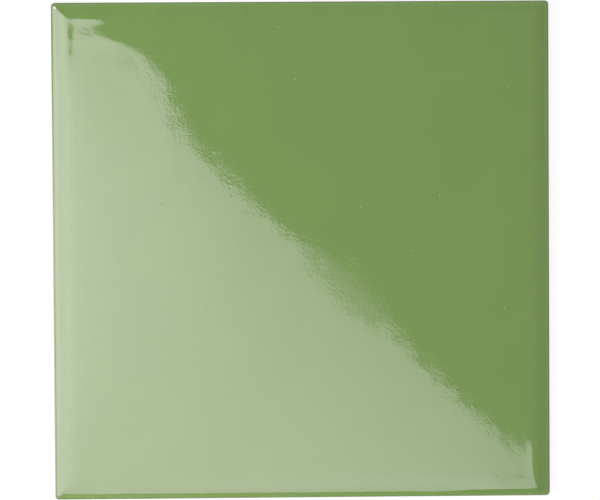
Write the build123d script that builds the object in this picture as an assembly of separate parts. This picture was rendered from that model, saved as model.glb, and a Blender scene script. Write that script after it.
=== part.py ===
from build123d import *

import os
from math import asin, degrees, radians, sqrt, tan

# Square glazed ceramic tile, pressed and fired as one piece, lying glazed face up.
# Millimetres. +Z comes up through the glazed face, and the origin is the middle of the back.

# Outline
SIDE = 150.0  # edge to edge at the widest level
THICKNESS = 8.0  # back ribs to the flat field of the face
CORNER_RADIUS = 1.2  # upright corners, seen from above

# Face edge: a wide shallow cushion that ends in a small rounded nose
CUSHION_WIDTH = 7.0  # from the widest outline to where the face becomes flat
CUSHION_RADIUS = 37.0
NOSE_RADIUS = 0.9

# Flank: an upright land that faces the grout joint, then draft down to the back
LAND_DEPTH = 3.6  # from the flat field down to the foot of the land
FLANK_DRAFT = 4.0  # degrees
BACK_ARRIS = 0.5  # bevel round the back

# Back: a waffle of shallow drafted recesses that keys into the adhesive bed
RECESS_COUNT = 6  # along each side
RECESS_DEPTH = 0.7
RECESS_CORNER = 1.5
RECESS_DRAFT = 30.0  # degrees
RIB_WIDTH = 3.0  # between recesses, at the back plane
BORDER_WIDTH = 6.0  # from the widest outline to the outer recesses

HALF = SIDE / 2
CORNER_AXIS = HALF - CORNER_RADIUS
RECESS_SIDE = (SIDE - 2 * BORDER_WIDTH - (RECESS_COUNT - 1) * RIB_WIDTH) / RECESS_COUNT
RECESS_PITCH = RECESS_SIDE + RIB_WIDTH
QUARTER_TURNS = [Rot(0, 0, turn) for turn in (0, 90, 180, 270)]


def tile_section():
    """Section across the middle of the tile, without the recesses of the back."""
    field_half = HALF - CUSHION_WIDTH
    cushion_z = THICKNESS - CUSHION_RADIUS

    # The nose touches the land and rolls smoothly into the cushion
    nose_x = HALF - NOSE_RADIUS
    nose_run = nose_x - field_half
    nose_reach = CUSHION_RADIUS - NOSE_RADIUS
    nose_z = cushion_z + sqrt(nose_reach**2 - nose_run**2)
    tilt = degrees(asin(nose_run / nose_reach))

    land_foot = (HALF, THICKNESS - LAND_DEPTH)
    arris_x = HALF - (THICKNESS - LAND_DEPTH - BACK_ARRIS) * tan(radians(FLANK_DRAFT))
    back_x = arris_x - BACK_ARRIS

    cushion = CenterArc((field_half, cushion_z), CUSHION_RADIUS, 90, -tilt)
    nose = CenterArc((nose_x, nose_z), NOSE_RADIUS, 90 - tilt, tilt - 90)
    land = Line(nose @ 1, land_foot)
    flank = Line(land_foot, (arris_x, BACK_ARRIS))
    arris = Line((arris_x, BACK_ARRIS), (back_x, 0))
    right_edge = [cushion, nose, land, flank, arris]
    left_edge = [mirror(piece, Plane.YZ) for piece in right_edge]
    field = Line((-field_half, THICKNESS), (field_half, THICKNESS))
    back = Line((-back_x, 0), (back_x, 0))
    return make_face([field, back] + right_edge + left_edge)


def mitred_body(section):
    """The section run both ways, so the cushions meet in a mitre at every corner."""
    return extrude(Plane.XZ * section, SIDE, both=True) & extrude(Plane.YZ * section, SIDE, both=True)


def turned_corner(section):
    """A quarter turn of the outer end of the section, which rounds one upright corner."""
    outer_end = Pos(CORNER_AXIS, 0) * Rectangle(SIDE, 2 * THICKNESS, align=(Align.MIN, Align.CENTER))
    profile = Plane.XZ.offset(-CORNER_AXIS) * (section & outer_end)
    return revolve(profile, Axis((CORNER_AXIS, CORNER_AXIS, 0), (0, 0, 1)), 90)


def corner_block():
    """The sharp corner that gives way to a turned one."""
    block = Box(SIDE, SIDE, 2 * THICKNESS, align=(Align.MIN, Align.MIN, Align.CENTER))
    return Pos(CORNER_AXIS, CORNER_AXIS, 0) * block


def back_recesses():
    """All recesses of the back, as one cutting shape."""
    opening = RectangleRounded(RECESS_SIDE, RECESS_SIDE, RECESS_CORNER)
    recess = extrude(opening, RECESS_DEPTH, taper=RECESS_DRAFT)
    grid = GridLocations(RECESS_PITCH, RECESS_PITCH, RECESS_COUNT, RECESS_COUNT)
    return [place * recess for place in grid]


def tile():
    """The whole tile."""
    section = tile_section()
    body = mitred_body(section) - [turn * corner_block() for turn in QUARTER_TURNS]
    body += [turn * turned_corner(section) for turn in QUARTER_TURNS]
    return body - back_recesses()


os.makedirs("parts", exist_ok=True)
export_step(tile(), "parts/tile.step")
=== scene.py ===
"""Glossy green glazed tile on a white studio floor, seen from almost straight above."""

import math

import bpy
import numpy as np
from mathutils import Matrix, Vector


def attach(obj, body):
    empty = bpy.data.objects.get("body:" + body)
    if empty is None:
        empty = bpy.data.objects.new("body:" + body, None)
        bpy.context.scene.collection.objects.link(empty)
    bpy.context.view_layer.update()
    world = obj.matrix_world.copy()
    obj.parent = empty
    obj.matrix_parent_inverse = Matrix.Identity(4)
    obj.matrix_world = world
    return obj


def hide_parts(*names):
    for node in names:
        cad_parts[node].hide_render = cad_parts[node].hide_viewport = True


MM = 0.001
ROOT_TWO = math.sqrt(2.0)
SIDES = 4
TINY = 1e-6

# Section of the tile, in millimetres, as in the solid
HALF = 75.0
THICKNESS = 8.0
CORNER_RADIUS = 1.2
CUSHION_WIDTH = 7.0
CUSHION_RADIUS = 37.0
NOSE_RADIUS = 0.9
LAND_DEPTH = 3.6
LAND_FOOT = THICKNESS - LAND_DEPTH
FLANK_DRAFT = math.radians(4.0)
BACK_ARRIS = 0.5

# Recesses of the back, in millimetres, as in the solid
RECESS_COUNT = 6
RECESS_SIDE = 20.5
RIB_WIDTH = 3.0
RECESS_PITCH = RECESS_SIDE + RIB_WIDTH
RECESS_CORNER = 1.5
RECESS_STRAIGHT = RECESS_SIDE / 2 - RECESS_CORNER
RECESS_DEPTH = 0.7
RECESS_DRAFT = math.radians(30.0)

# Slight rounding of edges that are sharp in the solid, in millimetres
ARRIS_ROUNDING = 0.06
RECESS_ROUNDING = 0.12

# Fineness of the mesh
FIELD_LINES = 191
FIELD_INSET = 10.0
EDGE_STEP = 0.36
NOSE_STEPS = 10
LAND_STEPS = 4
FLANK_STEPS = 7
CORNER_STEPS = 8
RECESS_LINES = 7
RECESS_CORNER_STEPS = 4
WELD_DECIMALS = 4

# Long swells of the glazed face: middle along and across the falling diagonal in millimetres,
# slope across it, and reach along and across in millimetres
SWELLS = (
    (-82.0, 8.0, 0.0095, 8.0, 11.0),
    (-66.0, 6.0, 0.0088, 9.0, 13.0),
    (-18.0, -1.0, -0.0006, 6.0, 14.0),
    (-2.0, 0.0, 0.0018, 6.0, 14.0),
    (13.0, 0.0, 0.0012, 7.0, 14.0),
    (40.0, 2.0, 0.0016, 9.0, 20.0),
    (78.0, 1.0, 0.0014, 12.0, 30.0),
)
CORNER_SWELLS = (
    (-95.0, 2.0, 0.0045, 6.0, 8.0),
    (93.0, 2.0, 0.0013, 5.0, 8.0),
)

# How far below the top side the long swells end, and how softly, in millimetres
SWELL_END = 12.4
SWELL_END_REACH = 0.75

# Rim at the corners, in millimetres: each side's cushion starts later there, with a bead of pooled glaze
CORNER_REACH = (14.0, 30.0)
CORNER_SHARES = {"top_left": 1.0, "top_right": 1.0, "bottom_left": 0.0, "bottom_right": 1.0}
RIM_START = {"right": 2.2, "top": 1.0, "left": 1.0, "bottom": 0.4}
RIM_FULL = {"right": 6.0, "top": 5.2, "left": 5.2, "bottom": 2.45}
BEAD_INSET = 4.6
BEAD_REACH = 1.7
BEAD_FULL = (0.8, 3.0)
BEAD_HEIGHTS = {"right": 0.032, "top": 0.030, "left": 0.027, "bottom": 0.014}
SIDE_BLEND = 0.9

# Soft start of the cushion along the left side, in millimetres
SHOULDER_INSET = 7.5
SHOULDER_REACH = 3.0
SHOULDER_FALL = 0.09

# Waves and ripples of the face: seed, how many, shortest and longest in millimetres, and their slope
WAVES = (
    (11, 36, 9.0, 34.0, 0.0004),
    (23, 80, 3.6, 9.0, 0.0007),
)

# Insets over which the waves and ripples set in, in millimetres
WAVE_FADE = (1.5, 6.0)

# Colours of the glaze, the biscuit and the painted highlight spot
GLAZE = (0.161, 0.309, 0.0553, 1.0)
GLAZE_DEEP = (0.137, 0.276, 0.0447, 1.0)
GLAZE_EDGE = (0.142, 0.266, 0.0470, 1.0)
GLAZE_NOSE_PALE = (0.205, 0.350, 0.100, 1.0)
# Painted highlight: pale colour along the nose of the left side
GLAZE_HIGHLIGHT = (0.42, 0.56, 0.31, 1.0)
BISCUIT = (0.70, 0.60, 0.42, 1.0)
BISCUIT_DARK = (0.58, 0.48, 0.31, 1.0)
# Painted highlight: near white colour of the spot at the top left corner
HIGHLIGHT_SPOT = (0.80, 0.78, 0.72, 1.0)

# Gloss of the glaze and the biscuit
GLAZE_ROUGHNESS = 0.032
BISCUIT_ROUGHNESS = 0.85
GLAZE_IOR = 1.52

# Noises: rate for each metre and detail
LINE_NOISE = (90.0, 3.0)
MOTTLE_NOISE = (60.0, 3.0)
SPECKLE_NOISE = (2400.0, 1.0)
GRAIN_NOISE = (2600.0, 2.0)
PEEL_NOISE = (1200.0, 2.0)

# Stretch of each noise that goes from none to all, and the weights of two noises in a tone
MOTTLE_STRETCH = (0.35, 0.65)
SPECKLE_STRETCH = (0.25, 0.75)
GRAIN_STRETCH = (0.3, 0.7)
GLAZE_WEIGHTS = (0.25, 0.75)
BISCUIT_WEIGHTS = (0.6, 0.4)

# Lower line of the glaze, in millimetres: lowest height, how far it wanders, and its softness
LINE_LOWEST = 2.4
LINE_WANDER = 2.6
LINE_STRETCH = (-0.08, 0.10)

# Where the glaze changes, in millimetres: darker towards the left and right sides, paler over the nose
# between two heights, and a painted highlight along the nose of the left side but not at its top
EDGE_STRETCH = (70.0, 72.5)
NOSE_START = (7.54, 7.42)
NOSE_END = (7.0, 6.2)
NOSE_PALE_SHARE = 0.42
HIGHLIGHT_ACROSS = (-74.45, -74.8)
HIGHLIGHT_ALONG = (66.0, 20.0)

# Painted highlight: a near white spot at the top left corner, in millimetres, with its soft rim in radii
HIGHLIGHT_SPOT_PLACE = (-73.8, 73.4)
HIGHLIGHT_SPOT_RADIUS = 0.28
HIGHLIGHT_SPOT_RIM = (1.3, 0.7)

# Orange peel of the glaze and grain of the biscuit, in millimetres
PEEL_HEIGHT = 0.0049
GRAIN_HEIGHT = 0.03

# Pinholes of the glaze: rate for each metre, sizes in millimetres, and their slope in radii
PIT_RATE = 48.0
PIT_RADIUS = 0.34
PIT_DEPTH = 0.04
PIT_SLOPE = (1.0, 0.2)

# Floor, in metres, and world
FLOOR_SIZE = 4.0
FLOOR_DROP = 5e-5
FLOOR_WHITE = (0.8, 0.8, 0.8, 1.0)
FLOOR_SHADE = (0.15, 0.15, 0.15, 1.0)
FLOOR_GLOW = 0.90
WORLD_WHITE = (1.0, 1.0, 1.0, 1.0)
WORLD_SHOWN = 1.0
WORLD_FILL = 0.03

# Softbox, in millimetres: its near edge runs along the tile's falling diagonal, and one corner is cut
PANEL_HEIGHT = 753.0
PANEL_EDGE = -7.4
PANEL_FAR = -490.0
PANEL_START = -600.0
PANEL_STOP = 348.0
PANEL_CUT_ALONG = 286.0
PANEL_CUT_ACROSS = 278.0
PANEL_TURN = math.radians(-44.2)
PANEL_TINT = (1.018, 0.915, 1.029, 1.0)

# Its brightness: an even part, a bright patch over the left, a dim near edge and a dim band across
PANEL_EVEN = 1.0
HOT_ALONG = -172.5
HOT_ACROSS = 220.0
HOT_SPREAD = 456.0
HOT_GAIN = 7.27
EDGE_DIM = 0.255
EDGE_REACH = 53.0
BAND_DIM = 0.176
BAND_ALONG = 56.0
BAND_SPREAD = 89.0

# Dim lens-shaped lip at its near edge, in millimetres
LIP_ALONG = 65.0
LIP_ACROSS = -6.0
LIP_HALF_LENGTH = 32.0
LIP_HALF_WIDTH = 6.8
LIP_DROP = 1.0
LIP_STEPS = 40
LIP_STRENGTH = 2.15

# Dim card beyond the softbox's lower end and wing below its left end, in millimetres, for reflections only
CARD_X = (-420.0, 120.0)
CARD_Y = (-900.0, -410.0)
CARD_RAISE = 4.0
CARD_FADE = (-126.0, 120.0)
CARD_STRENGTH = (2.0, 1.0)
CARD_TINT = (1.0, 1.0, 0.6, 1.0)
WING_X = -690.0
WING_Y = (-300.0, 300.0)
WING_Z = (520.0, 753.0)
WING_FADE = (40.0, 90.0)
WING_STRENGTH = (7.0, 5.2)

# Camera: place, lens and sensor in millimetres, turn as a vector along its axis in degrees,
# and the nearest and farthest distances seen in metres
CAMERA_PLACE = (-22.1, 34.3, 905.6)
CAMERA_TURN = (-2.175, -1.385, -0.378)
LENS = 178.64
SENSOR = 36.0
CLIP = (0.01, 20.0)


def smoothstep(low, high, value):
    """0 below low, 1 above high, and a smooth rise between."""
    share = np.clip((value - low) / (high - low), 0.0, 1.0)
    return share * share * (3.0 - 2.0 * share)


def swell_height(x, y, swells):
    """Slow rise and fall of the face, in millimetres."""
    along = (x - y) / ROOT_TWO
    across = (x + y) / ROOT_TWO
    height = np.zeros_like(x)
    for middle_along, middle_across, slope, reach_along, reach_across in swells:
        away_along = (along - middle_along) / reach_along
        away_across = (across - middle_across) / reach_across
        fade = np.exp(-0.5 * (away_along * away_along + away_across * away_across))
        height += slope * reach_across * away_across * fade
    return height


def wave_height(x, y):
    """Shallow waves and ripples in random directions, in millimetres."""
    height = np.zeros_like(x)
    for seed, count, shortest, longest, total_slope in WAVES:
        draw = np.random.default_rng(seed)
        slope = total_slope * ROOT_TWO / math.sqrt(count / 2)
        for _ in range(count):
            length = draw.uniform(shortest, longest)
            heading = draw.uniform(0.0, math.tau)
            phase = draw.uniform(0.0, math.tau)
            rate = math.tau / length
            run = x * math.cos(heading) + y * math.sin(heading)
            height += slope / rate * np.cos(rate * run + phase)
    return height


def corner_distance(x, y):
    """Distance from the nearest corner."""
    return np.hypot(HALF - np.abs(x), HALF - np.abs(y))


def corner_share(x, y):
    """1 close to a corner that has a raised rim, and 0 away from it."""
    top = np.where(x > 0, CORNER_SHARES["top_right"], CORNER_SHARES["top_left"])
    bottom = np.where(x > 0, CORNER_SHARES["bottom_right"], CORNER_SHARES["bottom_left"])
    return np.where(y > 0, top, bottom) * (1.0 - smoothstep(*CORNER_REACH, corner_distance(x, y)))


def corner_height(x, y):
    """What the rim stands above the plain cushion near the corners, in millimetres."""
    insets = {"right": HALF - x, "top": HALF - y, "left": HALF + x, "bottom": HALF + y}
    nearest = np.minimum.reduce(list(insets.values()))
    weights = {side: np.exp((nearest - inset) / SIDE_BLEND) for side, inset in insets.items()}
    total = sum(weights.values())
    start = sum(RIM_START[side] * weight for side, weight in weights.items()) / total
    full = sum(RIM_FULL[side] * weight for side, weight in weights.items()) / total
    crest = sum(BEAD_HEIGHTS[side] * weight for side, weight in weights.items()) / total
    fall = np.maximum(CUSHION_WIDTH - nearest, 0.0) ** 2 / (2.0 * CUSHION_RADIUS)
    inset = nearest - SIDE_BLEND * np.log(total)
    bead = crest * np.exp(-(((inset - BEAD_INSET) / BEAD_REACH) ** 2)) * smoothstep(*BEAD_FULL, inset)
    return corner_share(x, y) * (fall * smoothstep(start, full, nearest) + bead)


def shoulder_height(x, y):
    """How far the cushion's soft start lowers the left side, in millimetres."""
    kept = smoothstep(*CORNER_REACH, corner_distance(x, y))
    start = 1.0 - np.tanh((HALF + x - SHOULDER_INSET) / SHOULDER_REACH)
    return -0.5 * SHOULDER_FALL * kept * start


def relief(x, y):
    """All that the fired face adds to the plain section, in millimetres."""
    inset = np.minimum(HALF - np.abs(x), HALF - np.abs(y))
    below_end = HALF - y - SWELL_END
    swell = swell_height(x, y, SWELLS) / (1.0 + np.exp(-below_end / SWELL_END_REACH))
    swell += swell_height(x, y, CORNER_SWELLS)
    waves = wave_height(x, y) * smoothstep(*WAVE_FADE, inset)
    return swell + waves + corner_height(x, y) + shoulder_height(x, y)


def edge_section():
    """Insets and heights along the section, from the flat field over the nose and down to the back."""
    cushion_z = THICKNESS - CUSHION_RADIUS
    nose_run = CUSHION_WIDTH - NOSE_RADIUS
    nose_reach = CUSHION_RADIUS - NOSE_RADIUS
    nose_z = cushion_z + math.sqrt(nose_reach**2 - nose_run**2)
    tilt = math.asin(nose_run / nose_reach)
    meet = CUSHION_WIDTH - CUSHION_RADIUS * math.sin(tilt)

    flat_insets = np.arange(FIELD_INSET, CUSHION_WIDTH, -EDGE_STEP)
    flat_heights = np.full(len(flat_insets), THICKNESS)
    cushion_count = int((CUSHION_WIDTH - meet) / EDGE_STEP) + 2
    cushion_insets = np.linspace(CUSHION_WIDTH, meet, cushion_count)
    cushion_heights = cushion_z + np.sqrt(CUSHION_RADIUS**2 - (CUSHION_WIDTH - cushion_insets) ** 2)
    turn = np.linspace(tilt, math.pi / 2, NOSE_STEPS + 1)[1:]
    nose_insets = NOSE_RADIUS * (1.0 - np.sin(turn))
    nose_heights = nose_z + NOSE_RADIUS * np.cos(turn)
    land_insets = np.zeros(LAND_STEPS)
    land_heights = np.linspace(nose_z, LAND_FOOT, LAND_STEPS + 1)[1:]
    flank_heights = np.linspace(LAND_FOOT, BACK_ARRIS + ARRIS_ROUNDING, FLANK_STEPS + 1)[1:]
    flank_insets = (LAND_FOOT - flank_heights) * math.tan(FLANK_DRAFT)
    arris_insets, arris_heights = arris_section()

    insets = [flat_insets, cushion_insets, nose_insets, land_insets, flank_insets, arris_insets]
    heights = [flat_heights, cushion_heights, nose_heights, land_heights, flank_heights, arris_heights]
    return np.concatenate(insets), np.concatenate(heights)


def arris_section():
    """Insets and heights over the arris and onto the back."""
    arris_inset = (LAND_FOOT - BACK_ARRIS) * math.tan(FLANK_DRAFT)
    back_inset = arris_inset + BACK_ARRIS
    lean = ARRIS_ROUNDING * math.tan(FLANK_DRAFT)
    diagonal = ARRIS_ROUNDING / ROOT_TWO
    insets = [
        arris_inset + lean + diagonal / 2,
        back_inset - diagonal,
        back_inset + ARRIS_ROUNDING,
        back_inset + 3 * ARRIS_ROUNDING,
    ]
    heights = [BACK_ARRIS - diagonal / 2, diagonal, 0.0, 0.0]
    return insets, heights


def four_quarters(quarter):
    """A quarter of a loop of points, and its three turns by a right angle."""
    quarters = [quarter]
    for _ in range(SIDES - 1):
        last = quarters[-1]
        quarters.append(np.stack([-last[:, 1], last[:, 0]], 1))
    return np.concatenate(quarters)


def rounded_square(reach, radius, lines, corner_steps):
    """Points round a square whose straight sides are 2 reach long, joined by arcs of the given radius."""
    side_y = np.linspace(-reach, reach, lines)
    angles = np.linspace(0.0, math.pi / 2, corner_steps + 1)[1:-1]
    x = np.concatenate([np.full(lines, reach + radius), reach + radius * np.cos(angles)])
    y = np.concatenate([side_y, reach + radius * np.sin(angles)])
    return four_quarters(np.stack([x, y], 1))


def tile_ring(inset):
    """Points round the tile at one inset, anticlockwise from above, with the corners rounded in plan."""
    reach = HALF - max(CORNER_RADIUS, inset)
    radius = max(CORNER_RADIUS - inset, 0.0)
    return rounded_square(reach, radius, FIELD_LINES, CORNER_STEPS)


def recess_ring(radius):
    """Points round a recess where its corners have the given radius."""
    return rounded_square(RECESS_STRAIGHT, radius, RECESS_LINES, RECESS_CORNER_STEPS)


def at_height(plan, height):
    """Points in plan, put at one height."""
    return np.column_stack([plan, np.full(len(plan), height)])


def loop_quads(first, second, count):
    """Quads between two loops of points that start at the given numbers and run the same way."""
    here = np.arange(count)
    following = (here + 1) % count
    return np.stack([second + here, second + following, first + following, first + here], 1)


class MeshParts:
    """Collects points and faces, then welds points that share a place."""

    def __init__(self):
        self.points = []
        self.faces = []
        self.size = 0

    def add_points(self, xyz):
        """Adds points and returns the number of the first."""
        start = self.size
        self.points.append(np.asarray(xyz, float))
        self.size += len(xyz)
        return start

    def add_faces(self, faces):
        """Adds faces, each a row of point numbers."""
        self.faces.extend(np.asarray(faces).tolist())

    def welded(self):
        """The points without doubles, and the faces that are left."""
        xyz = np.concatenate(self.points)
        keys = np.round(xyz, WELD_DECIMALS)
        _, first, place = np.unique(keys, axis=0, return_index=True, return_inverse=True)
        place = place.reshape(-1)
        faces = []
        for face in self.faces:
            corners = []
            for number in face:
                corner = int(place[number])
                if corner not in corners:
                    corners.append(corner)
            if len(corners) > 2:
                faces.append(corners)
        return xyz[first], faces


def add_field(parts):
    """The glazed field inside the edge rings, as a square grid."""
    reach = HALF - FIELD_INSET
    axis = np.linspace(-reach, reach, FIELD_LINES)
    x, y = (grid.ravel() for grid in np.meshgrid(axis, axis, indexing="ij"))
    start = parts.add_points(np.stack([x, y, THICKNESS + relief(x, y)], 1))
    cells = np.arange(FIELD_LINES - 1)
    row, column = np.meshgrid(cells, cells, indexing="ij")
    base = start + (row * FIELD_LINES + column).ravel()
    parts.add_faces(np.stack([base, base + FIELD_LINES, base + FIELD_LINES + 1, base + 1], 1))


def add_edge(parts):
    """The rings over the cushion and nose and down to the back. Returns the inset of the last ring."""
    insets, heights = edge_section()
    previous = None
    for inset, height in zip(insets, heights):
        ring = tile_ring(inset)
        xyz = at_height(ring, height)
        if height > LAND_FOOT:
            xyz[:, 2] += relief(ring[:, 0], ring[:, 1])
        current = parts.add_points(xyz)
        if previous is not None:
            parts.add_faces(loop_quads(previous, current, len(ring)))
        previous = current
    return insets[-1]


def recess_steps():
    """Corner radius and depth of each ring of a recess, from the rib to the floor."""
    foot = RECESS_DEPTH * math.tan(RECESS_DRAFT)
    dip = RECESS_ROUNDING / 3
    steps = [
        (2 * RECESS_ROUNDING, 0.0),
        (RECESS_ROUNDING, 0.0),
        (0.0, dip),
        (-foot + RECESS_ROUNDING, RECESS_DEPTH - dip),
        (-foot - RECESS_ROUNDING, RECESS_DEPTH),
        (-foot - 4 * RECESS_ROUNDING, RECESS_DEPTH),
    ]
    return [(RECESS_CORNER + grow, depth) for grow, depth in steps]


def cell_outline():
    """Square outline of one recess with half of the ribs round it, point for point with its rings."""
    cell = RECESS_PITCH / 2
    edge = recess_ring(RECESS_CORNER)
    spread = edge / np.abs(edge).max(1, keepdims=True) * cell
    squared = np.where(np.abs(edge) > RECESS_STRAIGHT, np.sign(edge) * cell, edge)
    on_side = np.abs(edge).min(1, keepdims=True) <= RECESS_STRAIGHT + TINY
    return np.where(on_side, squared, spread)


def add_recess(parts, outline, middle):
    """One recess with half of the ribs round it."""
    previous = parts.add_points(at_height(outline + middle, 0.0))
    for radius, depth in recess_steps():
        current = parts.add_points(at_height(recess_ring(radius) + middle, depth))
        parts.add_faces(loop_quads(previous, current, len(outline)))
        previous = current
    parts.add_faces([previous + np.arange(len(outline))[::-1]])


def add_back(parts, last_inset):
    """The waffle of recesses and the border round it."""
    outline = cell_outline()
    middles = (np.arange(RECESS_COUNT) - (RECESS_COUNT - 1) / 2) * RECESS_PITCH
    for middle_x in middles:
        for middle_y in middles:
            add_recess(parts, outline, np.array([middle_x, middle_y]))
    add_border(parts, outline, middles, last_inset)


def add_border(parts, outline, middles, last_inset):
    """Flat border between the outer recesses and the arris."""
    wide = RECESS_COUNT / 2 * RECESS_PITCH
    side_y = outline[np.isclose(outline[:, 0], RECESS_PITCH / 2)][:, 1]
    along = np.unique(np.round((middles[:, None] + side_y[None, :]).ravel(), WELD_DECIMALS))
    inner = four_quarters(np.stack([np.full(len(along) - 1, wide), along[:-1]], 1))
    outer = tile_ring(last_inset)
    inner_start = parts.add_points(at_height(inner, 0.0))
    outer_start = parts.add_points(at_height(outer, 0.0))
    parts.add_faces(bridge(inner, inner_start, outer, outer_start))


def turn_share(points):
    """How far round each point lies, in sides of the square from the lower right corner."""
    x, y = points[:, 0], points[:, 1]
    size = np.maximum(np.abs(x), np.abs(y))
    side = np.select([x >= size - TINY, y >= size - TINY, x <= -size + TINY], [0, 1, 2], 3)
    run = np.select([side == 0, side == 1, side == 2], [y, -x, -y], x)
    share = side + 0.5 + 0.5 * run / size
    return share % SIDES


def in_turn(points, start):
    """Numbers of a loop's points in the order of their turn, and the turns, both closed on the first."""
    turns = turn_share(points)
    order = np.argsort(turns, kind="stable")
    numbers = start + np.append(order, order[0])
    return numbers, np.append(turns[order], SIDES + turns[order[0]])


def bridge(inner, inner_start, outer, outer_start):
    """Triangles that fill the flat strip between two loops, facing down."""
    inner_numbers, inner_turns = in_turn(inner, inner_start)
    outer_numbers, outer_turns = in_turn(outer, outer_start)
    triangles = []
    inner_at = 0
    outer_at = 0
    while inner_at < len(inner) or outer_at < len(outer):
        inner_here = inner_numbers[inner_at]
        outer_here = outer_numbers[outer_at]
        inner_done = inner_at == len(inner)
        outer_left = outer_at < len(outer)
        if inner_done or (outer_left and outer_turns[outer_at + 1] <= inner_turns[inner_at + 1]):
            outer_at += 1
            triangles.append((inner_here, outer_numbers[outer_at], outer_here))
        else:
            inner_at += 1
            triangles.append((inner_here, inner_numbers[inner_at], outer_here))
    return triangles


def new_object(name, points, faces):
    """A smooth shaded mesh object in the scene, from points in metres."""
    mesh = bpy.data.meshes.new(name)
    mesh.from_pydata([tuple(point) for point in points], [], faces)
    mesh.validate()
    mesh.polygons.foreach_set("use_smooth", np.ones(len(mesh.polygons), bool))
    mesh.update()
    obj = bpy.data.objects.new(name, mesh)
    bpy.context.scene.collection.objects.link(obj)
    return obj


def build_tile():
    """The whole fired tile as one closed mesh, its face lowered until no swell passes the thickness."""
    parts = MeshParts()
    add_field(parts)
    last_inset = add_edge(parts)
    add_back(parts, last_inset)
    points, faces = parts.welded()
    excess = max(points[:, 2].max() - THICKNESS, 0.0)
    points[:, 2] -= smoothstep(LAND_FOOT, THICKNESS, points[:, 2]) * excess
    return new_object("tile_body", points * MM, faces)


class Nodes:
    """Short calls for a material's or world's node tree."""

    def __init__(self, tree):
        self.tree = tree
        tree.nodes.clear()

    def add(self, kind, inputs=None, **settings):
        """A node with its settings, and with a link or a plain value on each named input."""
        node = self.tree.nodes.new(kind)
        for name, value in settings.items():
            setattr(node, name, value)
        for name, value in (inputs or {}).items():
            if isinstance(value, bpy.types.NodeSocket):
                self.tree.links.new(value, node.inputs[name])
            else:
                node.inputs[name].default_value = value
        return node

    def math(self, operation, first, second=0.0, clamp=False):
        node = self.add("ShaderNodeMath", {0: first, 1: second}, operation=operation, use_clamp=clamp)
        return node.outputs[0]

    def weighted(self, first, second, weights):
        """Sum of two values, each times its weight."""
        first_part = self.math("MULTIPLY", first, weights[0])
        second_part = self.math("MULTIPLY", second, weights[1])
        return self.math("ADD", first_part, second_part)

    def distance(self, place, spot):
        node = self.add("ShaderNodeVectorMath", {0: place, 1: spot}, operation="DISTANCE")
        return node.outputs["Value"]

    def noise(self, place, rate, detail):
        inputs = {"Vector": place, "Scale": rate, "Detail": detail}
        return self.add("ShaderNodeTexNoise", inputs).outputs["Fac"]

    def ramp(self, value, stretch, unit=1.0):
        """0 at the start of a stretch, 1 at its end, and a smooth change between."""
        start, stop = stretch
        inputs = {"Value": value, "From Min": start * unit, "From Max": stop * unit}
        return self.add("ShaderNodeMapRange", inputs, interpolation_type="SMOOTHSTEP").outputs["Result"]

    def bell(self, away, spread):
        """1 where away is 0, falling smoothly to 0 within a few spreads."""
        share = self.math("DIVIDE", away, spread)
        return self.math("EXPONENT", self.math("MULTIPLY", self.math("MULTIPLY", share, share), -0.5))

    def mix(self, kind, share, first, second):
        inputs = {"Factor": share, "A": first, "B": second}
        return self.add("ShaderNodeMix", inputs, data_type=kind).outputs["Result"]

    def mix_colour(self, share, first, second):
        return self.mix("RGBA", share, first, second)

    def mix_value(self, share, first, second):
        return self.mix("FLOAT", share, first, second)

    def output(self, shader, kind="ShaderNodeOutputMaterial"):
        self.add(kind, {"Surface": shader})


def new_material(name):
    """An empty material and its nodes."""
    material = bpy.data.materials.new(name)
    material.use_nodes = True
    return material, Nodes(material.node_tree)


def glazed_share(nodes, place, height):
    """1 above the ragged lower line of the glaze, and 0 below it."""
    wander = nodes.math("MULTIPLY", nodes.noise(place, *LINE_NOISE), LINE_WANDER * MM)
    line = nodes.math("ADD", wander, LINE_LOWEST * MM)
    return nodes.ramp(nodes.math("SUBTRACT", height, line), LINE_STRETCH, MM)


def glaze_colour(nodes, place, split, mottle):
    """Mottled green, darker towards two sides, paler over the nose, with a painted highlight along the
    left nose.
    """
    speckle = nodes.ramp(nodes.noise(place, *SPECKLE_NOISE), SPECKLE_STRETCH)
    green = nodes.mix_colour(nodes.weighted(mottle, speckle, GLAZE_WEIGHTS), GLAZE_DEEP, GLAZE)
    sideways = nodes.math("ABSOLUTE", split["X"])
    green = nodes.mix_colour(nodes.ramp(sideways, EDGE_STRETCH, MM), green, GLAZE_EDGE)

    below_start = nodes.ramp(split["Z"], NOSE_START, MM)
    below_end = nodes.ramp(split["Z"], NOSE_END, MM)
    nose = nodes.math("SUBTRACT", below_start, below_end, clamp=True)
    green = nodes.mix_colour(nodes.math("MULTIPLY", nose, NOSE_PALE_SHARE), green, GLAZE_NOSE_PALE)
    # Painted highlight along the nose of the left side, but not at its top
    highlight_across = nodes.ramp(split["X"], HIGHLIGHT_ACROSS, MM)
    highlight_along = nodes.ramp(split["Y"], HIGHLIGHT_ALONG, MM)
    left_highlight = nodes.math("MULTIPLY", nose, nodes.math("MULTIPLY", highlight_across, highlight_along))
    return nodes.mix_colour(left_highlight, green, GLAZE_HIGHLIGHT)


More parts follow.
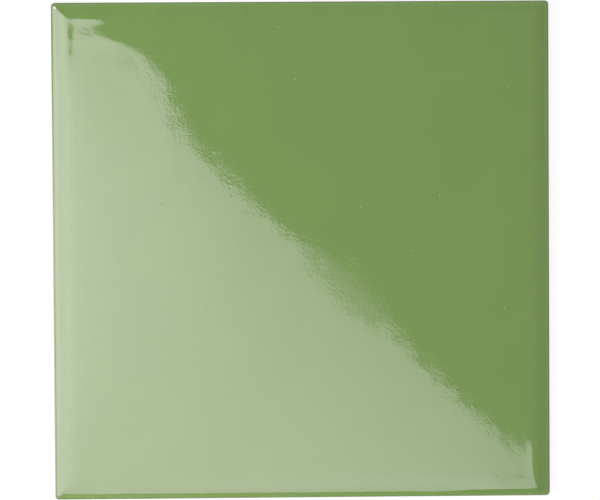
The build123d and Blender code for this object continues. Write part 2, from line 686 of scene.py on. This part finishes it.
def fine_normal(nodes, place, plan, grain, glazed):
    """Orange peel and pinholes of the glaze and the grain of the biscuit, as bump."""
    peel = nodes.noise(place, *PEEL_NOISE)
    rough_grain = nodes.math("MULTIPLY", grain, GRAIN_HEIGHT / PEEL_HEIGHT)
    surface = nodes.mix_value(glazed, rough_grain, peel)
    peel_inputs = {"Strength": 1.0, "Distance": PEEL_HEIGHT * MM, "Height": surface}
    peel_normal = nodes.add("ShaderNodeBump", peel_inputs).outputs["Normal"]

    cell_inputs = {"Vector": plan, "Scale": PIT_RATE}
    cells = nodes.add("ShaderNodeTexVoronoi", cell_inputs, feature="F1", voronoi_dimensions="2D").outputs
    chance = nodes.add("ShaderNodeSeparateColor", {"Color": cells["Color"]}).outputs["Red"]
    hole = nodes.ramp(cells["Distance"], PIT_SLOPE, PIT_RADIUS * MM * PIT_RATE)
    pit = nodes.math("MULTIPLY", hole, nodes.math("MULTIPLY", chance, chance))
    pit_inputs = {"Strength": 1.0, "Distance": PIT_DEPTH * MM, "Height": pit, "Normal": peel_normal}
    return nodes.add("ShaderNodeBump", pit_inputs, invert=True).outputs["Normal"]


def make_tile_material():
    """Green glaze over the face and nose, and bare biscuit below its ragged lower line."""
    material, nodes = new_material("glazed_ceramic")
    place = nodes.add("ShaderNodeTexCoord").outputs["Object"]
    split = nodes.add("ShaderNodeSeparateXYZ", {"Vector": place}).outputs
    plan = nodes.add("ShaderNodeCombineXYZ", {"X": split["X"], "Y": split["Y"]}).outputs["Vector"]
    mottle = nodes.ramp(nodes.noise(place, *MOTTLE_NOISE), MOTTLE_STRETCH)
    grain = nodes.ramp(nodes.noise(place, *GRAIN_NOISE), GRAIN_STRETCH)
    glazed = glazed_share(nodes, place, split["Z"])

    green = glaze_colour(nodes, place, split, mottle)
    bare = nodes.mix_colour(nodes.weighted(grain, mottle, BISCUIT_WEIGHTS), BISCUIT_DARK, BISCUIT)
    colour = nodes.mix_colour(glazed, bare, green)
    # Painted highlight: a near white spot at the top left corner
    spot = (HIGHLIGHT_SPOT_PLACE[0] * MM, HIGHLIGHT_SPOT_PLACE[1] * MM, 0.0)
    highlight_spot = nodes.ramp(nodes.distance(plan, spot), HIGHLIGHT_SPOT_RIM, HIGHLIGHT_SPOT_RADIUS * MM)
    colour = nodes.mix_colour(highlight_spot, colour, HIGHLIGHT_SPOT)
    roughness = nodes.mix_value(glazed, BISCUIT_ROUGHNESS, GLAZE_ROUGHNESS)
    normal = fine_normal(nodes, place, plan, grain, glazed)
    inputs = {"Base Color": colour, "Roughness": roughness, "IOR": GLAZE_IOR, "Normal": normal}
    nodes.output(nodes.add("ShaderNodeBsdfPrincipled", inputs).outputs["BSDF"])
    return material


def shown_rays(nodes):
    """1 for rays that see the backdrop: camera, glossy and transmission rays."""
    path = nodes.add("ShaderNodeLightPath").outputs
    seen = nodes.math("MAXIMUM", path["Is Camera Ray"], path["Is Glossy Ray"])
    return nodes.math("MAXIMUM", seen, path["Is Transmission Ray"])


def make_world():
    """White to look at and in reflections, and a low even fill otherwise."""
    world = bpy.data.worlds.new("studio")
    world.use_nodes = True
    bpy.context.scene.world = world
    nodes = Nodes(world.node_tree)
    strength = nodes.mix_value(shown_rays(nodes), WORLD_FILL, WORLD_SHOWN)
    shader = nodes.add("ShaderNodeBackground", {"Color": WORLD_WHITE, "Strength": strength})
    nodes.output(shader.outputs["Background"], "ShaderNodeOutputWorld")


def make_floor():
    """White floor that keeps a faint shadow of the tile."""
    reach = FLOOR_SIZE / 2
    corners = [(-reach, -reach), (reach, -reach), (reach, reach), (-reach, reach)]
    floor = new_object("floor", [(x, y, -FLOOR_DROP) for x, y in corners], [(0, 1, 2, 3)])
    material, nodes = new_material("white_floor")
    plain = nodes.add("ShaderNodeBsdfDiffuse", {"Color": FLOOR_WHITE}).outputs["BSDF"]
    shade = nodes.add("ShaderNodeBsdfDiffuse", {"Color": FLOOR_SHADE}).outputs["BSDF"]
    glow = nodes.add("ShaderNodeEmission", {"Strength": FLOOR_GLOW}).outputs["Emission"]
    shown = nodes.add("ShaderNodeAddShader", {0: shade, 1: glow}).outputs["Shader"]
    mixed = nodes.add("ShaderNodeMixShader", {0: shown_rays(nodes), 1: plain, 2: shown})
    nodes.output(mixed.outputs["Shader"])
    floor.data.materials.append(material)


def emitter(name, points, strength, tint=PANEL_TINT):
    """Flat light from points in millimetres, unseen by the camera."""
    lamp = new_object(name, np.array(points) * MM, [tuple(range(len(points)))])
    lamp.visible_camera = False
    material, nodes = new_material(name + "_light")
    light = nodes.add("ShaderNodeEmission", {"Color": tint, "Strength": strength(nodes)})
    nodes.output(light.outputs["Emission"])
    lamp.data.materials.append(material)
    return lamp


def hang(lamp, height):
    """Hangs a light over the tile, turned to the falling diagonal."""
    lamp.location = (0.0, 0.0, height * MM)
    lamp.rotation_euler = (0.0, 0.0, PANEL_TURN)


def glossy_only(lamp):
    """Leaves a light in reflections alone."""
    lamp.visible_diffuse = False
    lamp.visible_shadow = False


def fading(axis, stretch, strengths):
    """Strength that goes from one value to another over a stretch of the light."""

    def strength(nodes):
        spot = nodes.add("ShaderNodeTexCoord").outputs["Object"]
        place = nodes.add("ShaderNodeSeparateXYZ", {"Vector": spot}).outputs[axis]
        return nodes.mix_value(nodes.ramp(place, stretch, MM), *strengths)

    return strength


def panel_strength(nodes):
    """Brightest over the left of the tile, dimmer along the near edge and in a band across."""
    spot = nodes.add("ShaderNodeTexCoord").outputs["Object"]
    split = nodes.add("ShaderNodeSeparateXYZ", {"Vector": spot}).outputs
    hot = (HOT_ALONG * MM, (PANEL_EDGE - HOT_ACROSS) * MM, 0.0)
    patch = nodes.bell(nodes.distance(spot, hot), HOT_SPREAD * MM)
    from_edge = nodes.math("SUBTRACT", split["Y"], PANEL_EDGE * MM)
    edge = nodes.math("EXPONENT", nodes.math("DIVIDE", from_edge, EDGE_REACH * MM))
    band = nodes.bell(nodes.math("SUBTRACT", split["X"], BAND_ALONG * MM), BAND_SPREAD * MM)
    kept = nodes.math("SUBTRACT", 1.0, nodes.weighted(edge, band, (EDGE_DIM, BAND_DIM)))
    glow = nodes.math("MULTIPLY", patch, kept)
    return nodes.math("ADD", nodes.math("MULTIPLY", glow, HOT_GAIN), PANEL_EVEN)


def make_panel():
    """Large softbox with one corner cut."""
    outline = [
        (PANEL_START, PANEL_FAR, 0.0),
        (PANEL_START, PANEL_EDGE, 0.0),
        (PANEL_STOP, PANEL_EDGE, 0.0),
        (PANEL_STOP, PANEL_FAR + PANEL_CUT_ACROSS, 0.0),
        (PANEL_STOP - PANEL_CUT_ALONG, PANEL_FAR, 0.0),
    ]
    hang(emitter("softbox", outline, panel_strength), PANEL_HEIGHT)


def make_lip():
    """Dim lens shape at the softbox's near edge."""
    angles = np.linspace(0.0, math.tau, LIP_STEPS, endpoint=False)
    along = LIP_ALONG + LIP_HALF_LENGTH * np.cos(angles)
    across = LIP_ACROSS + LIP_HALF_WIDTH * np.sin(angles)
    outline = np.column_stack([along, across, np.zeros(LIP_STEPS)])
    hang(emitter("softbox_lip", outline, lambda nodes: LIP_STRENGTH), PANEL_HEIGHT - LIP_DROP)


def make_card():
    """Level card that lights the rounded edge at the bottom of the tile."""
    left, right = CARD_X
    far, near = CARD_Y
    level = PANEL_HEIGHT + CARD_RAISE
    sheet = [(left, far, level), (left, near, level), (right, near, level), (right, far, level)]
    glossy_only(emitter("softbox_card", sheet, fading("X", CARD_FADE, CARD_STRENGTH), CARD_TINT))


def make_wing():
    """Upright wing that lights the rounded edge at the left of the tile."""
    back, front = WING_Y
    low, high = WING_Z
    sheet = [(WING_X, back, low), (WING_X, front, low), (WING_X, front, high), (WING_X, back, high)]
    glossy_only(emitter("softbox_wing", sheet, fading("Y", WING_FADE, WING_STRENGTH)))


def make_camera():
    """Camera almost straight above, at the photograph's angle and framing."""
    data = bpy.data.cameras.new("camera")
    data.sensor_width = SENSOR
    data.lens = LENS
    data.clip_start, data.clip_end = CLIP
    camera = bpy.data.objects.new("camera", data)
    camera.location = Vector(CAMERA_PLACE) * MM
    turn = Vector([math.radians(part) for part in CAMERA_TURN])
    axis = turn.normalized()
    camera.rotation_mode = "AXIS_ANGLE"
    camera.rotation_axis_angle = (turn.length, axis.x, axis.y, axis.z)
    bpy.context.scene.collection.objects.link(camera)
    bpy.context.scene.camera = camera


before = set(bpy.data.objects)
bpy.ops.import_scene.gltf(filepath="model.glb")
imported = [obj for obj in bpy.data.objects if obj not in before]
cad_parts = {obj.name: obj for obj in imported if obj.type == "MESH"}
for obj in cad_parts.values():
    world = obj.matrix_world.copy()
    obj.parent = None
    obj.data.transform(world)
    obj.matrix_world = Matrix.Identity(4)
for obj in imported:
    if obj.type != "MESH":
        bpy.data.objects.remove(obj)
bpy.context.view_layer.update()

tile = build_tile()
tile.data.materials.append(make_tile_material())
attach(tile, "root")
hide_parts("tile")

make_world()
make_floor()
make_panel()
make_lip()
make_card()
make_wing()
make_camera()
bpy.context.scene.view_settings.view_transform = "Standard"
